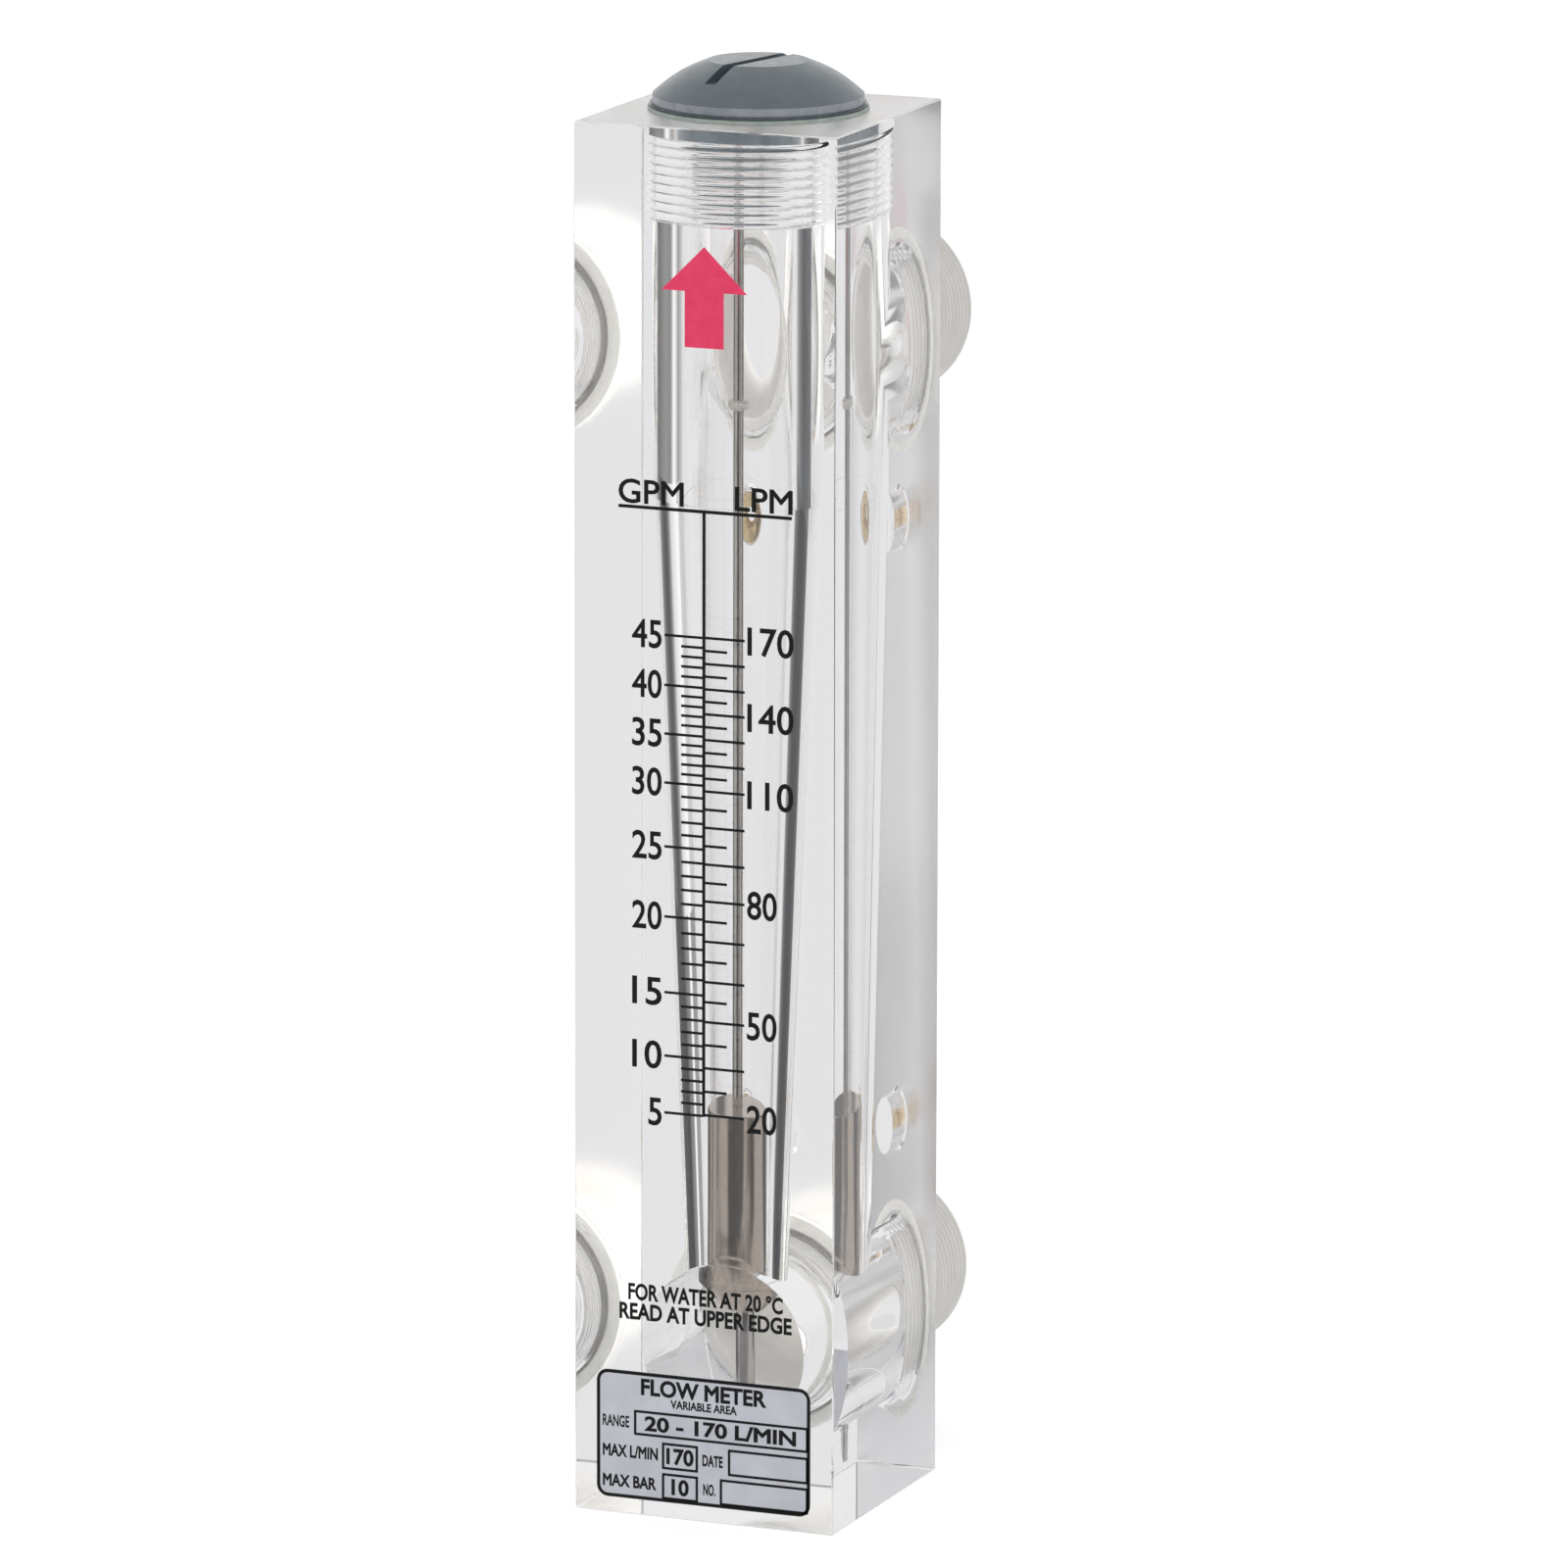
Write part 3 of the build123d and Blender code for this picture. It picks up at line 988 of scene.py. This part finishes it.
# Crimson epoxy ink, screen printed as the black is. Bright and opaque, with a dull gloss.
crimson_ink, shader = finish_of("Crimson screen ink")
wired(crimson_ink, shader, {
    "Base Color": mottled(crimson_ink, 3 * MM, "#E92E5C", "#F03A68"),
    "Roughness": uneven(crimson_ink, 2 * MM, 0.42, 0.55),
    "Normal": grained(crimson_ink, ink_mesh_mark, 0.01 * MM, 0.3),
})
arrow.data.materials.append(crimson_ink)
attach(arrow, "housing")

# Rating label. Self adhesive silver foil with rounded corners, stuck low on the front. It is printed with a
# frame, a heading and boxes for the meter's figures.
label_low, label_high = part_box("rating_label")
label_corner = 3 * MM
label_face = label_low.y
label_foil = label_face + ink_thickness
frame_stroke = 0.9 * MM
box_stroke = 0.65 * MM
box_corner = 0.25 * MM
tightest_corner = 0.1 * MM
corner_points = 8


def rounded_plate(name, left, right, foot, top, corner, back, face):
    """A thin upright plate with rounded corners, from its back to its face."""
    rounds = []
    for x, z, first in (
        (right - corner, top - corner, 0), (left + corner, top - corner, 1),
        (left + corner, foot + corner, 2), (right - corner, foot + corner, 3),
    ):
        for step in range(corner_points + 1):
            angle = math.pi / 2 * (first + step / corner_points)
            rounds.append((x + corner * math.cos(angle), back, z + corner * math.sin(angle)))
    plate = drawn_line(name, rounds)
    open_up(plate)
    bpy.ops.mesh.edge_face_add()
    thicken(face - back)
    return plate


def frame_of(left, right, foot, top, corner, stroke):
    """A printed frame: a plate with its middle cut out."""
    outer = rounded_plate("Frame", left, right, foot, top, corner, label_foil + wetted, label_face)
    inner = rounded_plate(
        "Frame middle", left + stroke, right - stroke, foot + stroke, top - stroke,
        max(corner - stroke, tightest_corner), label_foil + over, label_face - over
    )
    return combined(outer, "DIFFERENCE", [inner])


def label_words(words, left, right, top, cap, weight=plain_weight):
    """Words on the label, placed from its left and top edges in millimetres."""
    words_mesh = printed_words(
        words, label_low.x + left * MM, label_low.x + right * MM, label_high.z - (top + cap) * MM,
        cap * MM, weight
    )
    pick(words_mesh)
    words_mesh.location = (0, label_face - (front - ink_thickness), 0)
    bpy.ops.object.transform_apply(location=True, rotation=False, scale=False)
    return words_mesh


def label_box(left, right, top, bottom):
    """An empty box on the label, placed in the same way."""
    return frame_of(
        label_low.x + left * MM, label_low.x + right * MM, label_high.z - bottom * MM,
        label_high.z - top * MM, box_corner, box_stroke
    )


label_plate = rounded_plate(
    "label_plate", label_low.x, label_high.x, label_low.z, label_high.z, label_corner,
    front + wetted, label_foil
)
# Aluminium foil, matt and printed over. Satin metal that takes a soft light, with the film's faint waves.
foil, shader = finish_of("Satin aluminium foil", Metallic=0.5)
wired(foil, shader, {
    "Base Color": mottled(foil, 9 * MM, "#C3C5CC", "#CED0D6"),
    "Roughness": uneven(foil, 4 * MM, 0.4, 0.5),
    "Normal": grained(foil, 6 * MM, 0.05 * MM, 0.3),
})
dressed(label_plate, foil, "housing", "aluminium_foil", "rating_label")
label_marks = [
    frame_of(label_low.x, label_high.x, label_low.z, label_high.z, label_corner, frame_stroke),
    label_words("FLOW METER", 12.0, 46.0, 1.8, 3.9),
    label_words("VARIABLE AREA", 20.0, 38.0, 6.5, 2.0, heading_weight),
    label_words("RANGE", 1.6, 8.8, 11.8, 2.8, narrow_weight),
    label_box(10.1, 57.3, 9.9, 16.4),
    label_words("20 - 170 L/MIN", 13.0, 54.0, 11.4, 3.5),
    label_words("MAX L/MIN", 1.6, 16.6, 19.4, 2.9),
    label_box(17.7, 27.5, 17.6, 24.5),
    label_words("170", 18.9, 26.3, 19.1, 3.8),
    label_words("DATE", 28.7, 34.2, 19.8, 2.7),
    label_box(35.6, 57.3, 17.6, 24.5),
    label_words("MAX BAR", 1.6, 16.2, 27.2, 2.9),
    label_box(17.7, 27.5, 25.5, 32.3),
    label_words("10", 20.3, 25.0, 27.0, 3.8),
    label_words("NO.", 28.9, 32.2, 27.3, 2.7),
    label_box(33.4, 57.3, 25.5, 32.3),
]
label_print = joined("label_print", label_marks)
label_print.data.materials.append(black_ink)
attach(label_print, "housing")

# Studio. A paper sweep in a plain white surround, with upright cards beside the meter. The cards show only
# in the block, as the bands that its bores and faces mirror, and throw no shadow.
clear_view = (0.985, 0.985, 1, 1)
clear_strength = 0.80
paper_lift = 0.42
white = (1, 1, 1, 1)
floor_width = 40
floor_gap = 0.2 * MM


def path_share(material, least=None, most=None):
    """One for a ray whose path has each step at least or at most so many times, else nought."""
    rays = add_node(material, "ShaderNodeLightPath")
    tests = [(step, "GREATER_THAN", count - 0.5) for step, count in (least or {}).items()]
    tests += [(step, "LESS_THAN", count + 0.5) for step, count in (most or {}).items()]
    share = 1.0
    for step, compare, limit in tests:
        test = add_node(material, "ShaderNodeMath", {"operation": compare}, {
            0: rays.outputs[step], 1: limit
        })
        both = add_node(material, "ShaderNodeMath", {"operation": "MULTIPLY"}, {
            0: share, 1: test.outputs[0]
        })
        share = both.outputs[0]
    return share


bpy.ops.object.select_all(action="DESELECT")
bpy.ops.mesh.primitive_plane_add(size=floor_width, location=(0, 0, -floor_gap))
floor = bpy.context.view_layer.objects.active
floor.name = "studio_floor"
# White paper. It reads as white to the eye, keeps the meter's soft shadow, and is a shade darker seen
# through the block or in its metal.
paper, shader = finish_of("White paper sweep", Roughness=0.9, Specular_IOR_Level=0.0)
wired(paper, shader, {"Base Color": mottled(paper, 200 * MM, "#ECECED", "#EEEEEF")})
lift = add_node(paper, "ShaderNodeEmission", None, {"Color": white, "Strength": paper_lift})
lifted = add_node(paper, "ShaderNodeAddShader", None, {0: shader.outputs[0], 1: lift.outputs[0]})
bent_view = add_node(paper, "ShaderNodeEmission", None, {"Color": clear_view, "Strength": clear_strength})
unscattered = add_node(paper, "ShaderNodeMixShader", None, {
    0: path_share(paper, most={"Diffuse Depth": 0}), 1: shader.outputs[0], 2: bent_view.outputs[0]
})
direct = add_node(paper, "ShaderNodeMixShader", None, {
    0: path_share(paper, {"Is Camera Ray": 1}), 1: unscattered.outputs[0], 2: lifted.outputs[0]
})
wired(paper, paper.node_tree.nodes["Material Output"], {"Surface": direct.outputs[0]})
floor.data.materials.append(paper)

# White surround. A wall of even light, white to the eye. What lies inside or behind the block gets a little
# more of it, to make up for the light that the polished faces turn away.
surround_light = (0.85, 0.85, 0.86, 1)
buried_gain = 1.8
surround = bpy.data.worlds.new("White surround")
surround.use_nodes = True
buried = path_share(surround, {"Transmission Depth": 1, "Diffuse Depth": 1})
gain = add_node(
    surround, "ShaderNodeMath", {"operation": "MULTIPLY_ADD"}, {0: buried, 1: buried_gain, 2: 1.0}
)
soft_light = wired(surround, surround.node_tree.nodes["Background"], {
    "Color": surround_light, "Strength": gain.outputs[0]
})
seen_white = add_node(surround, "ShaderNodeBackground", None, {"Color": white, "Strength": 1.0})
seen_through = add_node(surround, "ShaderNodeBackground", None, {
    "Color": clear_view, "Strength": clear_strength
})
refracted = add_node(surround, "ShaderNodeMixShader", None, {
    0: path_share(surround, {"Is Transmission Ray": 1}, {"Glossy Depth": 0, "Diffuse Depth": 0}),
    1: soft_light.outputs[0], 2: seen_through.outputs[0]
})
mirrored = add_node(surround, "ShaderNodeMixShader", None, {
    0: path_share(surround, {"Is Glossy Ray": 1}, {"Transmission Depth": 0, "Diffuse Depth": 0}),
    1: refracted.outputs[0], 2: seen_white.outputs[0]
})
direct = add_node(surround, "ShaderNodeMixShader", None, {
    0: path_share(surround, {"Is Camera Ray": 1}), 1: mirrored.outputs[0], 2: seen_white.outputs[0]
})
wired(surround, surround.node_tree.nodes["World Output"], {"Surface": direct.outputs[0]})
bpy.context.scene.world = surround


def toned_card(name, start, end, foot, top, tones, walls=1):
    """An upright card between two points of the floor, with tones and their warmth at millimetres along it.
    It shows only to light that one mirror has turned and that has passed at least so many clear walls."""
    start = Vector(start) * MM
    along = Vector(end) * MM - start
    bpy.ops.object.select_all(action="DESELECT")
    bpy.ops.mesh.primitive_plane_add(size=1)
    card = bpy.context.view_layer.objects.active
    card.name = name
    card.scale = (along.length, (top - foot) * MM, 1)
    card.rotation_euler = (math.pi / 2, 0, math.atan2(along.y, along.x))
    card.location = (*(start + along / 2), (foot + top) / 2 * MM)
    matt = bpy.data.materials.new("Matt card " + name)
    matt.use_nodes = True
    share = add_node(matt, "ShaderNodeMath", {"operation": "ADD"}, {0: place_on(matt)["X"], 1: 0.5})
    ramp = add_node(matt, "ShaderNodeValToRGB", None, {"Fac": share.outputs[0]})
    while len(ramp.color_ramp.elements) < len(tones):
        ramp.color_ramp.elements.new(0.5)
    for stop, (reach, tone, warmth) in zip(ramp.color_ramp.elements, tones):
        stop.position = reach * MM / along.length
        stop.color = (tone * warmth, tone, tone / warmth, 1)
    glow = add_node(matt, "ShaderNodeEmission", None, {"Color": ramp.outputs["Color"]})
    gone = add_node(matt, "ShaderNodeBsdfTransparent")
    turned_once = path_share(
        matt, {"Glossy Depth": 1, "Transmission Depth": walls}, {"Glossy Depth": 1, "Diffuse Depth": 0}
    )
    look = add_node(matt, "ShaderNodeMixShader", None, {
        0: turned_once, 1: gone.outputs[0], 2: glow.outputs[0]
    })
    wired(matt, matt.node_tree.nodes["Material Output"], {"Surface": look.outputs[0]})
    card.data.materials.append(matt)
    card.visible_camera = False
    card.visible_shadow = False


card_top = 420
left_card = (-58, -45), (-58, 72)
left_card_joins = (140, 255)
toned_card("left_card_low", *left_card, 0, left_card_joins[0], (
    (0, 0.3, 1.02), (16, 0.3, 1.0), (19, 1.0, 1.0), (23, 0.9, 1.0), (27, 0.25, 1.0), (38, 0.16, 1.0),
    (42, 0.06, 1.0), (70, 0.05, 0.98), (117, 0.08, 0.98),
))
toned_card("left_card_middle", *left_card, *left_card_joins, (
    (0, 0.55, 1.02), (12, 0.60, 1.0), (17, 1.0, 1.0), (34, 0.7, 1.0), (39, 0.25, 1.0), (48, 0.06, 1.02),
    (60, 0.07, 1.03), (84, 0.2, 1.04), (117, 0.3, 1.03),
))
toned_card("left_card_high", *left_card, left_card_joins[1], card_top, (
    (0, 0.55, 1.03), (10, 0.32, 1.02), (15, 0.7, 1.0), (20, 1.0, 1.0), (25, 0.45, 1.0), (28, 0.22, 0.97),
    (40, 0.27, 0.99), (50, 0.22, 1.02), (72, 0.13, 1.05), (117, 0.28, 1.05),
))
right_card = (46, 50), (290, 50)
right_card_join = 235
toned_card("right_card_low", *right_card, 0, right_card_join, (
    (0, 0.08, 0.96), (20, 0.05, 0.96), (60, 0.045, 0.96), (85, 0.06, 0.97), (115, 0.1, 0.98),
    (160, 0.2, 0.98), (200, 0.4, 1.0), (244, 0.85, 1.0),
))
toned_card("right_card_high", *right_card, right_card_join, card_top, (
    (0, 0.14, 0.97), (20, 0.11, 0.97), (60, 0.1, 0.97), (85, 0.13, 0.97), (115, 0.2, 0.98),
    (160, 0.36, 0.98), (200, 0.5, 1.0), (244, 0.85, 1.0),
))
toned_card("front_card", (-32, -100), (125, -100), 0, card_top, (
    (0, 0.5, 1.02), (8, 0.05, 1.02), (115, 0.04, 1.02), (140, 0.06, 1.05), (157, 0.3, 1.05),
), walls=3)
# Light is followed through the block's many inner mirrors before it is given up.
tracing = bpy.context.scene.cycles
tracing.max_bounces = 32
tracing.glossy_bounces = 24
tracing.transmission_bounces = 32

# Camera. A long lens that looks down a little at the meter's front and right side, with all of the meter in
# the frame.
azimuth = math.radians(22.136)
elevation = math.radians(11.835)
roll = math.radians(0.1156)
target = Vector((7.189, 0, 182.973)) * MM
distance = 3142.16 * MM
back = Vector((
    math.sin(azimuth) * math.cos(elevation), -math.cos(azimuth) * math.cos(elevation), math.sin(elevation)
))
bpy.ops.object.select_all(action="DESELECT")
bpy.ops.object.camera_add(location=target + back * distance)
camera = bpy.context.view_layer.objects.active
camera.data.lens = 288.45
camera.data.sensor_width = 36
camera.rotation_mode = "QUATERNION"
camera.rotation_quaternion = (-back).to_track_quat("-Z", "Y") @ Quaternion(UPRIGHT, roll)
bpy.context.scene.camera = camera

scene = bpy.context.scene
scene.view_settings.view_transform = "Standard"
